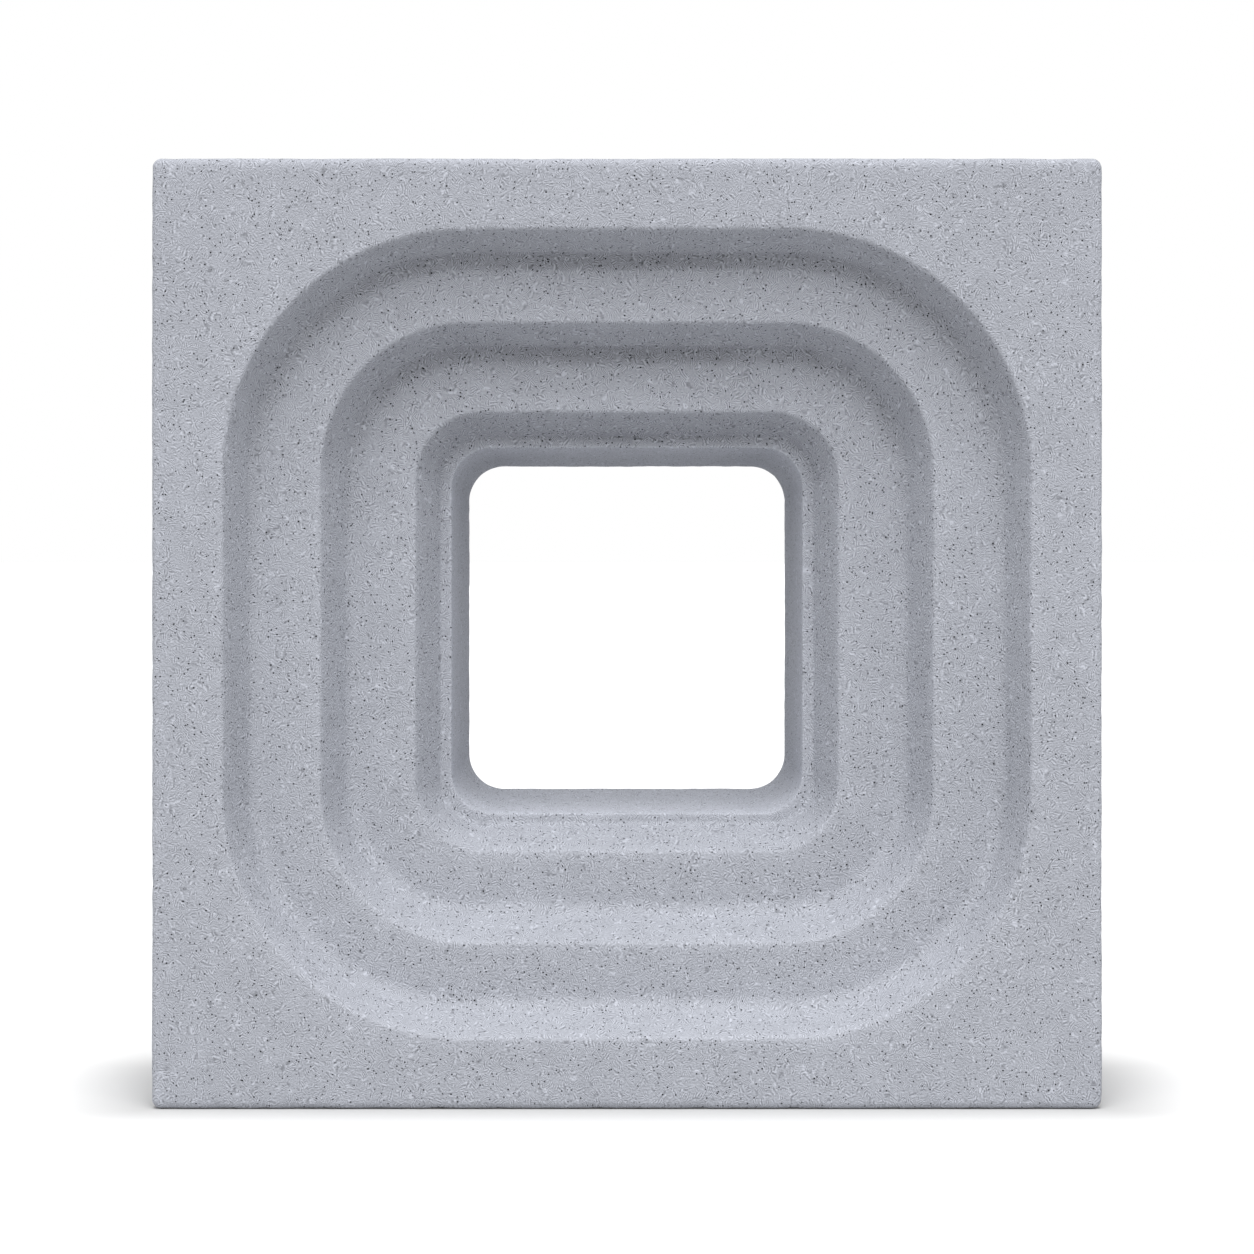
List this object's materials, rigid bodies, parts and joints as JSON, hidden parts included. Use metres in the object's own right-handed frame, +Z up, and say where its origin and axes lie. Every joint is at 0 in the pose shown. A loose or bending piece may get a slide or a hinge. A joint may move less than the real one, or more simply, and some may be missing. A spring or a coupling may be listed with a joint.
{
  "type": "concrete screen block",
  "caption": "Square concrete screen block with a rounded, stepped recess going down to a rounded square opening right through it.",
  "frame": {"origin": "middle of the bottom bed, halfway along the width and the thickness", "axes": "+X along the width, +Z up the block's height, +Y from the stepped front face to the flat back face"},
  "size_m": [0.29, 0.09, 0.29],
  "materials": {
    "concrete": "dry-cast concrete, fine sandy grain, matte, uncoated"
  },
  "bodies": {
    "root": {"screen_block": "concrete"}
  },
  "joints": []
}
